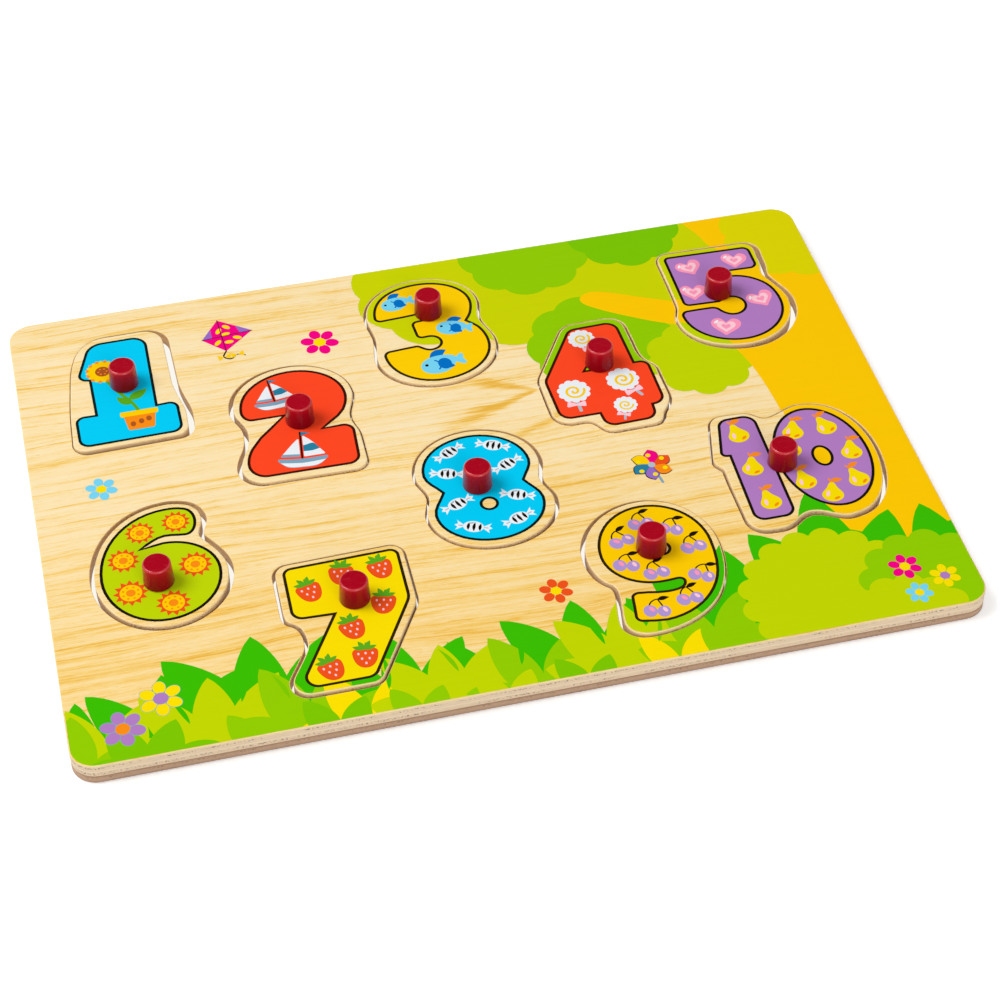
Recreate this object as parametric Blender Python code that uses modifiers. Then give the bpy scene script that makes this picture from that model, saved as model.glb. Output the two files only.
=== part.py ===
"""Wooden number puzzle: a glued two-layer board with ten cut-outs, and ten number pieces with pegs."""
import math

import bmesh
import bpy

# Board, in metres
BOARD_LENGTH = 0.300
BOARD_WIDTH = 0.214
BOARD_CORNER_RADIUS = 0.0084
BOARD_ARRIS = 0.0005
BACKING_THICKNESS = 0.003
FACE_THICKNESS = 0.005
GLUE_LINE = 0.0001

# Number pieces
NUMBER_HEIGHT = 0.0542
PIECE_THICKNESS = 0.006
PIECE_ARRIS = 0.0004
POCKET_PLAY = 0.001
REST_GAP = 0.0003
LEAST_SIDE_GAP = 0.0003

# Pegs
PEG_BASE_DIAMETER = 0.0103
PEG_TOP_DIAMETER = 0.0096
PEG_HEIGHT = 0.0088
PEG_TOP_ROUNDING = 0.0008
PEG_BASE_ROUNDING = 0.0004

# Countersunk screws that hold the pegs from beneath
SCREW_LENGTH = 0.012
SCREW_SHANK_DIAMETER = 0.0028
SCREW_HEAD_DIAMETER = 0.0056
SCREW_TIP_LENGTH = 0.0016
SCREW_HEAD_RIM = 0.0003
SCREW_RECESS = 0.0003
SCREW_CLEARANCE = 0.0003

# Smoothness of the solids
OUTLINE_POINTS = 66
BOARD_CORNER_POINTS = 32
PEG_SIDES = 24
SCREW_SIDES = 12
PEG_ROUNDING_STEPS = 3

# The outlines are drawn in place, in millimetres from the board's centre, on a board of this size
# whose numerals are this high
DRAWN_LENGTH = 300.0
DRAWN_WIDTH = 214.0
DRAWN_NUMBER_HEIGHT = 54.2
DRAWN_UNIT = NUMBER_HEIGHT / DRAWN_NUMBER_HEIGHT

WOOD = (0.79, 0.60, 0.36)
BACKING_WOOD = (0.42, 0.26, 0.15)
CYAN = (0.0, 0.61, 0.93)
VERMILION = (1.0, 0.06, 0.01)
GOLDEN = (0.96, 0.60, 0.0)
PURPLE = (0.43, 0.18, 0.52)
LIME = (0.48, 0.66, 0.0)
YELLOW = (0.96, 0.76, 0.0)
CRIMSON = (0.48, 0.0, 0.02)
STEEL = (0.62, 0.63, 0.65)


def corner(x, y, radius=0.0):
    """A corner between two straight edges, rounded by radius."""
    return ("corner", x, y, radius)


def curve(x, y, heading):
    """A point that the outline passes smoothly, running at heading degrees from +X."""
    return ("curve", x, y, heading)


# Each piece: its peg's place, its pocket's play as a multiple of the usual, how far it lies off the
# pocket's middle as shares of the free play, its colour, and its outline, counterclockwise
PIECES = {
    1: ((-112.0, 64.8), 1.25, (-1.0, -0.4), CYAN, (
        corner(-133.6, 33.1, 4.5), corner(-93.0, 34.0, 4.5), curve(-92.6, 45.0, 90),
        curve(-94.4, 55.0, 100), curve(-95.4, 63.0, 90), corner(-95.6, 92.0, 7.0),
        curve(-116.0, 91.9, 180), curve(-127.4, 84.0, 247), curve(-131.6, 62.0, 263),
        curve(-133.0, 44.0, 268))),
    2: ((-54.4, 30.8), 1.05, (0.6, -1.0), VERMILION, (
        curve(-54.4, 59.7, 180), curve(-76.5, 40.9, 270), curve(-73.3, 29.4, 272),
        curve(-75.4, 19.4, 245), curve(-78.2, 10.4, 272), curve(-69.9, 2.6, 0),
        corner(-35.3, 2.0, 4.5), curve(-35.1, 18.8, 90), curve(-36.9, 27.9, 94),
        curve(-33.8, 41.5, 90))),
    3: ((1.6, 76.6), 0.8, (0.1, -1.0), GOLDEN, (
        curve(0.8, 96.2, 180), curve(-21.2, 78.5, 268), curve(-20.1, 67.4, 270),
        curve(-21.6, 55.5, 270), curve(-0.4, 37.6, 0), curve(22.1, 56.5, 90),
        curve(19.2, 68.5, 100), curve(20.6, 79.9, 90))),
    4: ((55.3, 34.2), 0.8, (-0.6, -1.0), VERMILION, (
        corner(49.8, -0.9, 5.0), corner(68.8, -0.6, 4.5), curve(71.4, 5.2, 50),
        curve(74.9, 12.8, 90), curve(74.6, 26.8, 90), curve(70.8, 33.9, 112),
        curve(69.8, 40.9, 91), corner(69.2, 57.8, 6.0), corner(47.6, 57.5, 7.0),
        corner(31.9, 30.9, 8.0), corner(32.3, 7.2, 6.5), curve(44.6, 5.8, 330))),
    5: ((108.4, 62.1), 1.3, (-1.0, -0.3), PURPLE, (
        curve(89.3, 49.9, 270), curve(111.3, 31.9, 0), curve(132.7, 52.9, 90),
        curve(127.9, 67.9, 106), curve(128.7, 74.9, 88), corner(129.3, 87.7, 4.5),
        corner(91.7, 88.5, 4.0), curve(91.5, 58.9, 268))),
    6: ((-113.1, -34.9), 1.6, (-0.1, -0.75), LIME, (
        curve(-106.4, 0.4, 180), curve(-133.8, -30.8, 270), curve(-111.9, -55.2, 0),
        curve(-90.0, -33.4, 90), curve(-96.6, -18.2, 122), curve(-95.3, -8.8, 90),
        curve(-100.5, -0.8, 160))),
    7: ((-52.1, -58.0), 0.95, (0.2, -0.7), YELLOW, (
        corner(-75.6, -37.8, 4.5), curve(-76.0, -59.8, 270), curve(-74.2, -63.6, 330),
        curve(-71.0, -67.8, 285), curve(-71.4, -76.8, 244), corner(-81.9, -95.1, 5.5),
        corner(-50.6, -95.1, 5.0), corner(-32.6, -63.4, 9.0), corner(-32.4, -36.8, 4.5))),
    8: ((-1.3, -16.0), 1.1, (-0.45, -0.75), CYAN, (
        curve(0.4, 11.0, 180), curve(-21.2, -7.8, 270), curve(-18.7, -17.6, 270),
        curve(-21.0, -27.4, 270), curve(0.7, -45.6, 0), curve(22.6, -27.8, 90),
        curve(20.0, -18.0, 90), curve(22.0, -8.0, 90))),
    9: ((47.7, -59.6), 0.9, (0.65, -1.0), GOLDEN, (
        curve(48.9, -37.0, 180), curve(25.8, -59.2, 270), curve(30.6, -71.9, 320),
        curve(32.0, -77.7, 265), curve(30.4, -89.3, 268), curve(37.2, -95.9, 356),
        curve(58.2, -90.1, 35), curve(70.6, -61.2, 90))),
    10: ((102.8, -30.8), 1.05, (-0.6, -0.2), PURPLE, (
        corner(82.7, -60.0, 6.5), curve(93.3, -60.4, 2), curve(99.7, -57.6, 38),
        curve(105.1, -55.4, 0), curve(117.9, -60.0, 2), curve(136.4, -30.8, 90),
        curve(117.6, -3.8, 180), curve(104.9, -7.6, 188), curve(97.7, -3.6, 170),
        corner(85.3, -2.6, 5.0), corner(80.1, -24.8, 4.0), curve(82.6, -29.6, 268))),
}

# Heights that the pieces share
FACE_BOTTOM = BACKING_THICKNESS + GLUE_LINE
PIECE_BOTTOM = BACKING_THICKNESS + REST_GAP
SCREW_HEAD_HEIGHT = (SCREW_HEAD_DIAMETER - SCREW_SHANK_DIAMETER) / 2
PEG_SEAT = PIECE_THICKNESS + GLUE_LINE
PEG_BORE_DEPTH = SCREW_RECESS + SCREW_LENGTH - PEG_SEAT + SCREW_CLEARANCE


def clear_scene():
    for obj in list(bpy.data.objects):
        bpy.data.objects.remove(obj, do_unlink=True)


def new_collection(name):
    collection = bpy.data.collections.new(name)
    bpy.context.scene.collection.children.link(collection)
    return collection


def new_material(name, colour, roughness, metallic=0.0):
    material = bpy.data.materials.new(name)
    material.use_nodes = True
    shader = material.node_tree.nodes["Principled BSDF"]
    shader.inputs["Base Color"].default_value = (*colour, 1.0)
    shader.inputs["Roughness"].default_value = roughness
    shader.inputs["Metallic"].default_value = metallic
    material.diffuse_color = (*colour, 1.0)
    return material


def outline_knots(items):
    """Knots (x, y, heading) in radians, with each corner's rounding as two of them."""
    knots = []
    for index, (kind, x, y, value) in enumerate(items):
        if kind == "curve":
            knots.append((x, y, math.radians(value)))
            continue
        _, before_x, before_y, _ = items[index - 1]
        _, after_x, after_y, _ = items[(index + 1) % len(items)]
        arriving = math.atan2(y - before_y, x - before_x)
        leaving = math.atan2(after_y - y, after_x - x)
        reach = value * math.tan(abs(math.remainder(leaving - arriving, math.tau)) / 2)
        knots.append((x - reach * math.cos(arriving), y - reach * math.sin(arriving), arriving))
        knots.append((x + reach * math.cos(leaving), y + reach * math.sin(leaving), leaving))
    return knots


def handle_share(here, there):
    """Length of a handle as a share of the chord, from the angles at its own end and the other."""
    bend = (math.sin(here) - math.sin(there) / 16) * (math.sin(there) - math.sin(here) / 16)
    rise = 2 + math.sqrt(2) * bend * (math.cos(here) - math.cos(there))
    slow = 0.5 * (math.sqrt(5) - 1) * math.cos(here) + 0.5 * (3 - math.sqrt(5)) * math.cos(there)
    return rise / (3 + 3 * slow)


def add_spline(curve_data, knots, points_wanted):
    """Closed Bezier spline through the knots, its points shared out among its curved stretches."""
    spline = curve_data.splines.new("BEZIER")
    spline.bezier_points.add(len(knots) - 1)
    spline.use_cyclic_u = True
    points = spline.bezier_points
    for point in points:
        point.handle_left_type = point.handle_right_type = "FREE"
    for index, (x, y, heading) in enumerate(knots):
        points[index].co = (x, y, 0.0)
    curved = 0
    for index, (x, y, heading) in enumerate(knots):
        following = (index + 1) % len(knots)
        next_x, next_y, next_heading = knots[following]
        chord = math.hypot(next_x - x, next_y - y)
        direction = math.atan2(next_y - y, next_x - x)
        leaving = math.remainder(heading - direction, math.tau)
        arriving = math.remainder(direction - next_heading, math.tau)
        start = chord * handle_share(leaving, arriving)
        end = chord * handle_share(arriving, leaving)
        points[index].handle_right = (x + start * math.cos(heading), y + start * math.sin(heading), 0.0)
        points[following].handle_left = (
            next_x - end * math.cos(next_heading), next_y - end * math.sin(next_heading), 0.0)
        if max(abs(leaving), abs(arriving)) < math.radians(0.2):
            points[index].handle_right_type = "VECTOR"
            points[following].handle_left_type = "VECTOR"
        else:
            curved += 1
    spline.resolution_u = max(round(points_wanted / curved), 4)


def sheet(name, collection, knots, thickness, points, arris=0.0, grow=0.0):
    """Flat piece cut to an outline: a filled 2D curve made into a mesh, its underside at z = 0."""
    data = bpy.data.curves.new(name, "CURVE")
    data.dimensions = "2D"
    data.fill_mode = "BOTH"
    data.extrude = thickness / 2 - arris
    data.bevel_depth = arris
    data.bevel_resolution = 0
    data.offset = grow - arris
    add_spline(data, knots, points)
    guide = bpy.data.objects.new(name + "_outline", data)
    bpy.context.scene.collection.objects.link(guide)
    graph = bpy.context.evaluated_depsgraph_get()
    mesh = bpy.data.meshes.new_from_object(guide.evaluated_get(graph))
    bpy.data.objects.remove(guide, do_unlink=True)
    shape = bmesh.new()
    shape.from_mesh(mesh)
    bmesh.ops.remove_doubles(shape, verts=shape.verts, dist=1e-6)
    bmesh.ops.recalc_face_normals(shape, faces=shape.faces)
    bmesh.ops.translate(shape, verts=shape.verts, vec=(0.0, 0.0, thickness / 2))
    shape.to_mesh(mesh)
    shape.free()
    mesh.name = name
    mesh.materials.clear()
    obj = bpy.data.objects.new(name, mesh)
    collection.objects.link(obj)
    return obj


def turned(name, collection, profile, sides):
    """Piece turned about Z from a profile of (radius, height) points, top to bottom."""
    mesh = bpy.data.meshes.new(name)
    edges = [(index, index + 1) for index in range(len(profile) - 1)]
    mesh.from_pydata([(radius, 0.0, height) for radius, height in profile], edges, [])
    obj = bpy.data.objects.new(name, mesh)
    collection.objects.link(obj)
    screw = obj.modifiers.new("Turn", "SCREW")
    screw.steps = screw.render_steps = sides
    screw.use_merge_vertices = True
    screw.merge_threshold = 1e-5
    screw.use_smooth_shade = True
    return obj


def cut(obj, cutter, name):
    boolean = obj.modifiers.new(name, "BOOLEAN")
    boolean.operation = "DIFFERENCE"
    boolean.solver = "EXACT"
    boolean.object = cutter


def hide_cutter(cutter):
    cutter.hide_render = True
    cutter.display_type = "WIRE"


def board_outline():
    half_length, half_width = BOARD_LENGTH / 2, BOARD_WIDTH / 2
    signs = ((-1, -1), (1, -1), (1, 1), (-1, 1))
    return outline_knots([corner(x * half_length, y * half_width, BOARD_CORNER_RADIUS) for x, y in signs])


def piece_outline(number):
    """The piece's outline in metres about its peg."""
    (peg_x, peg_y), _, _, _, items = PIECES[number]
    drawn = outline_knots(items)
    return [((x - peg_x) * DRAWN_UNIT, (y - peg_y) * DRAWN_UNIT, heading) for x, y, heading in drawn]


def piece_place(number):
    """Where the piece's peg stands on the board."""
    peg_x, peg_y = PIECES[number][0]
    return (peg_x * BOARD_LENGTH / DRAWN_LENGTH, peg_y * BOARD_WIDTH / DRAWN_WIDTH)


def pocket_play(number):
    """How much wider than the piece its pocket is, on each side."""
    return max(PIECES[number][1] * POCKET_PLAY, LEAST_SIDE_GAP)


def pocket_place(number):
    """Where the peg would stand if the piece lay in the middle of its pocket."""
    x, y = piece_place(number)
    share_x, share_y = PIECES[number][2]
    free = pocket_play(number) - LEAST_SIDE_GAP
    return (x - share_x * free, y - share_y * free)


def make_board(parts, cutters):
    outline = board_outline()
    backing = sheet("backing_board", parts, outline, BACKING_THICKNESS, BOARD_CORNER_POINTS, BOARD_ARRIS)
    backing.data.materials.append(new_material("dark_ply", BACKING_WOOD, 0.75))
    face = sheet("face_board", parts, outline, FACE_THICKNESS, BOARD_CORNER_POINTS, BOARD_ARRIS)
    face.location.z = FACE_BOTTOM
    face.data.materials.append(new_material("printed_ply", WOOD, 0.35))
    for number in PIECES:
        depth = FACE_THICKNESS * 2
        pocket = sheet(f"pocket_{number}", cutters, piece_outline(number), depth, OUTLINE_POINTS,
                       grow=pocket_play(number))
        pocket.location = (*pocket_place(number), FACE_BOTTOM - FACE_THICKNESS / 2)
        hide_cutter(pocket)
        cut(face, pocket, f"Pocket {number}")


def screw_profile():
    """Countersunk screw standing on its head, tip up."""
    head, shank = SCREW_HEAD_DIAMETER / 2, SCREW_SHANK_DIAMETER / 2
    return (
        (0.0, SCREW_LENGTH), (shank, SCREW_LENGTH - SCREW_TIP_LENGTH),
        (shank, SCREW_HEAD_RIM + SCREW_HEAD_HEIGHT), (head, SCREW_HEAD_RIM), (head, 0.0), (0.0, 0.0))


def screw_hole_profile():
    """Countersunk hole through a piece, from under its face to over it, about the screw's head."""
    head = SCREW_HEAD_DIAMETER / 2 + SCREW_CLEARANCE
    shank = SCREW_SHANK_DIAMETER / 2 + SCREW_CLEARANCE
    below = -PIECE_THICKNESS / 2
    cone_top = SCREW_RECESS + SCREW_HEAD_RIM + SCREW_HEAD_HEIGHT
    return (
        (0.0, PIECE_THICKNESS * 1.5), (shank, PIECE_THICKNESS * 1.5), (shank, cone_top),
        (head, SCREW_RECESS + SCREW_HEAD_RIM), (head, below), (0.0, below))


def peg_profile():
    """Tapered peg with a rounded top edge and a blind bore from beneath."""
    base, top = PEG_BASE_DIAMETER / 2, PEG_TOP_DIAMETER / 2
    bore = SCREW_SHANK_DIAMETER / 2 + SCREW_CLEARANCE
    angles = [math.pi / 2 * step / PEG_ROUNDING_STEPS for step in range(PEG_ROUNDING_STEPS + 1)]
    inner, shoulder = top - PEG_TOP_ROUNDING, PEG_HEIGHT - PEG_TOP_ROUNDING
    rounding = [
        (inner + PEG_TOP_ROUNDING * math.sin(angle), shoulder + PEG_TOP_ROUNDING * math.cos(angle))
        for angle in angles]
    return (
        (0.0, PEG_HEIGHT), *rounding, (base, PEG_BASE_ROUNDING), (base - PEG_BASE_ROUNDING, 0.0),
        (bore, 0.0), (bore, PEG_BORE_DEPTH - bore / 2), (0.0, PEG_BORE_DEPTH))


def make_piece(number, parts, cutters, paints):
    colour = PIECES[number][3]
    mount = bpy.data.objects.new(f"number_{number}_place", None)
    parts.objects.link(mount)
    mount.location = (*piece_place(number), PIECE_BOTTOM)

    piece = sheet(f"number_{number}", parts, piece_outline(number), PIECE_THICKNESS, OUTLINE_POINTS,
                  PIECE_ARRIS)
    piece.data.materials.append(new_material(f"print_{number}", colour, 0.35))
    hole = turned(f"screw_hole_{number}", cutters, screw_hole_profile(), SCREW_SIDES)
    hide_cutter(hole)
    cut(piece, hole, "Screw hole")

    peg = turned(f"peg_{number}", parts, peg_profile(), PEG_SIDES)
    peg.location.z = PEG_SEAT
    peg.data.materials.append(paints["peg"])

    screw = turned(f"screw_{number}", parts, screw_profile(), SCREW_SIDES)
    screw.location.z = SCREW_RECESS
    screw.data.materials.append(paints["screw"])

    for obj in (piece, hole, peg, screw):
        obj.parent = mount


def main():
    clear_scene()
    parts = new_collection("wooden_number_puzzle")
    cutters = new_collection("cutters")
    paints = {
        "peg": new_material("crimson_paint", CRIMSON, 0.25),
        "screw": new_material("zinc_plated_steel", STEEL, 0.35, 1.0),
    }
    make_board(parts, cutters)
    for number in PIECES:
        make_piece(number, parts, cutters, paints)
    bpy.context.view_layer.update()


main()
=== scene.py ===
"""Looks of the wooden number puzzle: printed plywood board, ten printed numbers with turned pegs."""
import math

import bmesh
import bpy
from mathutils import Matrix, Vector
from mathutils.geometry import delaunay_2d_cdt


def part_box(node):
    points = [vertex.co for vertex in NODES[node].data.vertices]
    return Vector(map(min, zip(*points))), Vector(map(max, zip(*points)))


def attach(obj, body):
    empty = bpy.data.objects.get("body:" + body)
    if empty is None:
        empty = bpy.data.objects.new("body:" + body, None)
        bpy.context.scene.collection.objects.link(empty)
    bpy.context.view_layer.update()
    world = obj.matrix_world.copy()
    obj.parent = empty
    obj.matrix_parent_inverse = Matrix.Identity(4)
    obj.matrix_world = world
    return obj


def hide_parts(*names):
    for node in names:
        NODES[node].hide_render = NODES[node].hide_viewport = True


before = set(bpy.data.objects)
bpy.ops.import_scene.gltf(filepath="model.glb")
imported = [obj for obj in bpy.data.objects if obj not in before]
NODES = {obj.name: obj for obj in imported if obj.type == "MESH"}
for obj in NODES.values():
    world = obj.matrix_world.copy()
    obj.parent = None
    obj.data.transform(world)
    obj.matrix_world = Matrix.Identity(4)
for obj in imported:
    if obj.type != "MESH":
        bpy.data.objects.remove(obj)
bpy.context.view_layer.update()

NUMBERS = range(1, 11)

# Flat shapes are drawn in millimetres from the board's centre; the scene is in metres
MM = 0.001

# Wooden edges
BOARD_ARRIS = 0.5
POCKET_ARRIS = 0.25
PIECE_ARRIS = 0.4
ARRIS_STEPS = 3
LOOP_STEPS = 3
SHARP_ANGLE = 42
LEVEL_TOLERANCE = 0.01

# Screw holes through the numbers
HOLE_CLEARANCE = 0.3
SCREW_SHANK = 1.4
SCREW_RIM = 0.3
SCREW_CONE = 1.4
HOLE_SIDES = 32

# Pegs
PEG_SIDES = 64
PEG_TAPER = 0.922
PEG_TOP_ROUNDING = 0.85
PEG_BASE_ROUNDING = 0.4
PEG_ROUNDING_STEPS = 6
PEG_INNER_RING = 0.9

# Printed ink, and the paper between the boards with its painted glow
INK_THICKNESS = 0.05
INK_MARGIN = 0.02
STROKE_WIDTH = 1.02
PAPER_THICKNESS = 0.04
PAPER_MARGIN = 1
PAPER_LIFT = 0.01
PAINTED_GLOW_COLOUR = (1, 0.98, 0.91, 1)
PAINTED_GLOW_STRENGTH = 0.92
INK_DEEPENING = 0.96

# Gloss
INK_GLOSS = 0.02
WOOD_GLOSS = 0.18
LACQUER_IOR = 1.7
LACQUER_GLOSS = 0.08
EDGE_GLOSS = 0.55
RIM_GLOSS = 0.3
EDGE_SHEEN = 0.12
WORN_GLOSS = 0.01

# Light; the table's own light rises to plain white between two distances in millimetres
WHITE = (1, 1, 1, 1)
SKY_STRENGTH = 0.4
KEY_POWER = 35
FILL_POWER = 6.2
TABLE_SIZE = 6
TABLE_LIFT = 0.34
TABLE_REACH = (350, 1100)

# Camera; its axes point to its right, upwards and back
CAMERA_PLACE = (-0.12663, -0.59261, 0.58434)
CAMERA_AXES = ((0.97240, -0.23316, -0.00858), (0.16974, 0.68174, 0.71163), (-0.16007, -0.69345, 0.70250))
SENSOR_WIDTH = 36
LENS = 86.918

# How finely outlines are drawn
SHORTEST_CHORD = 1e-6
MERGE_DISTANCE = 1e-5
LEAST_TURN = 0.4
DEGREES_A_STEP = 7
LEAST_MITRE = 0.5
LINE_STEPS = 5
LOBE_STEPS = 8
LOBE_FULLNESS = 0.75
CAP_STEPS = 5
TRUNK_STEPS = 6


# Colours

def linear(red, green, blue):
    """Scene-linear colour of an 8-bit sRGB one."""
    channels = []
    for value in (red, green, blue):
        share = value / 255
        channels.append(share / 12.92 if share <= 0.04045 else ((share + 0.055) / 1.055) ** 2.4)
    return (*channels, 1)


BROAD_INKS = {
    "cyan": (0, 204, 246), "red": (255, 72, 34), "golden": (255, 206, 0), "amber": (255, 204, 0),
    "purple": (178, 125, 194), "lime": (190, 214, 4), "yellow": (250, 222, 0), "field": (203, 213, 0),
    "leaf_light": (194, 214, 0), "leaf_gold": (222, 214, 0), "leaf": (146, 204, 0),
    "leaf_mid": (124, 198, 0), "leaf_dark": (58, 190, 0), "straw": (252, 224, 0), "trunk": (255, 201, 0)}
FINE_INKS = {
    "black": (22, 14, 4), "black_on_blue": (6, 26, 28), "black_on_red": (58, 16, 2),
    "black_on_gold": (42, 30, 0), "white": (236, 242, 246), "grey": (178, 190, 200),
    "slate": (128, 165, 188), "teal": (40, 128, 160), "sky": (118, 212, 242), "blue": (0, 112, 196),
    "pink": (255, 152, 186), "blush": (255, 205, 216), "magenta": (246, 0, 132),
    "violet": (150, 108, 196), "lilac": (176, 150, 212), "orange": (250, 140, 20),
    "rust": (238, 82, 26), "brown": (172, 86, 34), "stem_green": (90, 170, 30)}
FILLS = ("cyan", "red", "golden", "red", "purple", "lime", "yellow", "cyan", "amber", "purple")
STROKES = {
    "cyan": "black_on_blue", "red": "black_on_red", "golden": "black_on_gold",
    "yellow": "black_on_gold", "amber": "black_on_gold", "purple": "black", "lime": "black"}
THROUGH = "through"


# Flat outlines

def curve(x, y, heading):
    """A point that an outline passes smoothly, running at heading degrees from +X."""
    return x, y, 0, math.radians(heading)


def polar(x, y, radius, angle, squash=1):
    """The point at that angle on a circle round (x, y)."""
    return x + radius * math.cos(angle), y + squash * radius * math.sin(angle)


def ring(radius, count, start=0):
    """Evenly spaced points round the origin, each with its direction in degrees."""
    turns = [start + 360 * step / count for step in range(count)]
    return [(turn, *polar(0, 0, radius, math.radians(turn))) for turn in turns]


def facing(here, there):
    return math.atan2(there[1] - here[1], there[0] - here[0])


def outline_knots(items):
    """Knots (x, y, heading) in radians, with each corner's rounding as two of them."""
    knots = []
    for before, (x, y, *more), after in zip(items[-1:] + items, items, items[1:] + items[:1]):
        radius, *headings = more or [0]
        if headings:
            knots.append((x, y, *headings))
            continue
        arriving, leaving = facing(before, (x, y)), facing((x, y), after)
        reach = radius * math.tan(abs(math.remainder(leaving - arriving, math.tau)) / 2)
        knots += [(*polar(x, y, -reach, arriving), arriving), (*polar(x, y, reach, leaving), leaving)]
    return knots


def handle_share(here, there):
    """Length of a handle as a share of the chord, from the angles at its own end and the other."""
    bend = (math.sin(here) - math.sin(there) / 16) * (math.sin(there) - math.sin(here) / 16)
    rise = 2 + math.sqrt(2) * bend * (math.cos(here) - math.cos(there))
    slow = 0.5 * (math.sqrt(5) - 1) * math.cos(here) + 0.5 * (3 - math.sqrt(5)) * math.cos(there)
    return rise / (3 + 3 * slow)


def bezier(corners, steps):
    """Points of a cubic curve, its end left out."""
    points = []
    for step in range(steps):
        t = step / steps
        shares = ((1 - t) ** 3, 3 * t * (1 - t) ** 2, 3 * t * t * (1 - t), t ** 3)
        points.append(tuple(sum(s * c[axis] for s, c in zip(shares, corners)) for axis in (0, 1)))
    return points


def traced(*items):
    """Closed polygon through corners (x, y, and the radius that rounds one) and curves."""
    knots = outline_knots(items)
    polygon = []
    for (x, y, heading), (next_x, next_y, next_heading) in zip(knots, knots[1:] + knots[:1]):
        chord = math.hypot(next_x - x, next_y - y)
        if chord < SHORTEST_CHORD:
            continue
        direction = facing((x, y), (next_x, next_y))
        leaving = math.remainder(heading - direction, math.tau)
        arriving = math.remainder(direction - next_heading, math.tau)
        turn = math.degrees(abs(leaving) + abs(arriving))
        polygon += bezier(
            ((x, y), polar(x, y, chord * handle_share(leaving, arriving), heading),
             polar(next_x, next_y, -chord * handle_share(arriving, leaving), next_heading), (next_x, next_y)),
            1 if turn < LEAST_TURN else max(math.ceil(turn / DEGREES_A_STEP), 2))
    return polygon


def flowing(points, steps):
    """Closed polygon that runs smoothly through the points."""
    def handle(point, first, last, length):
        across = math.dist(first, last) or 1
        return tuple(p + (b - a) / across * length / 3 for p, a, b in zip(point, first, last))

    polygon = []
    for index in range(len(points)):
        before, here, there, beyond = (points[(index + shift) % len(points)] for shift in (-1, 0, 1, 2))
        length = math.dist(here, there)
        start, end = handle(here, before, there, length), handle(there, here, beyond, -length)
        polygon += bezier((here, start, end, there), steps)
    return polygon


def flowing_line(points):
    """Open path that runs smoothly through the points."""
    padded = points[:1] + points + points[-1:]
    path = []
    for before, here, there, beyond in zip(padded, points, points[1:], padded[3:]):
        start = tuple(h + (t - b) / 6 for h, t, b in zip(here, there, before))
        end = tuple(t - (n - h) / 6 for t, n, h in zip(there, beyond, here))
        path += bezier((here, start, end, there), LINE_STEPS)
    return path + points[-1:]


def moved(polygon, x, y, size=1, turn=0):
    """The polygon scaled, turned by degrees and moved to (x, y)."""
    cosine, sine = size * math.cos(math.radians(turn)), size * math.sin(math.radians(turn))
    return [(x + px * cosine - py * sine, y + px * sine + py * cosine) for px, py in polygon]


def ellipse(x, y, across, up, turn=0, steps=28):
    """Ellipse of half-axes across and up, turned by degrees."""
    angles = [math.tau * step / steps for step in range(steps)]
    return moved([(across * math.cos(angle), up * math.sin(angle)) for angle in angles], x, y, 1, turn)


def circle(x, y, radius, steps=24):
    return ellipse(x, y, radius, radius, 0, steps)


def star(tips, reach, waist, turn):
    """Pointed star."""
    return [
        polar(0, 0, waist if step % 2 else reach, math.radians(turn) + math.pi * step / tips)
        for step in range(2 * tips)]


def scalloped(x, y, lobes, reach, depth, turn=0, squash=1):
    """Round form edged with outward lobes that meet in notches."""
    polygon = []
    for step in range(lobes * LOBE_STEPS):
        swell = math.sin(math.pi * (step % LOBE_STEPS) / LOBE_STEPS) ** LOBE_FULLNESS
        angle = math.tau * step / (lobes * LOBE_STEPS) + math.radians(turn)
        polygon.append(polar(x, y, reach - depth + depth * swell, angle, squash))
    return polygon


def flanks(x, y, half, angle):
    """Points half to the left and half to the right of (x, y), facing that angle."""
    aside, along = half * math.sin(angle), half * math.cos(angle)
    return (x - aside, y + along), (x + aside, y - along)


def blade(x, y, length, width, heading, bend=0, fullest=0.42, steps=12, fullness=1):
    """Pointed leaf that grows from (x, y) at heading degrees and turns by bend degrees on its way."""
    power = math.log(0.5) / math.log(fullest)
    pairs = []
    for step in range(steps + 1):
        angle = math.radians(heading + bend * step / steps)
        half = width / 2 * math.sin(math.pi * (step / steps) ** power) ** fullness
        pairs.append(flanks(x, y, half, angle))
        x, y = polar(x, y, length / steps, angle)
    left, right = zip(*pairs)
    return list(right[:-1] + left[:0:-1])


def band(path, width):
    """Line of even width with round ends."""
    half = width / 2

    def cap(centre, angle):
        turns = (math.pi * (step + 1) / (CAP_STEPS + 1) for step in range(CAP_STEPS))
        return [polar(*centre, half, angle - math.pi / 2 + turn) for turn in turns]

    left, right = zip(*(
        flanks(*here, half, facing(before, after))
        for before, here, after in zip(path[:1] + path, path, path[1:] + path[-1:])))
    return [
        *right, *cap(path[-1], facing(path[-2], path[-1])),
        *left[::-1], *cap(path[0], facing(path[1], path[0]))]


def arc(x, y, radius, start, end, steps=12, growth=0):
    """Open path along a circle, or along a spiral whose radius grows by growth on the way."""
    shares = [step / steps for step in range(steps + 1)]
    return [
        polar(x, y, radius + growth * share, math.radians(start + (end - start) * share))
        for share in shares]


def area_of(polygon):
    return sum(a[0] * b[1] - b[0] * a[1] for a, b in zip(polygon, polygon[1:] + polygon[:1])) / 2


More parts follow.
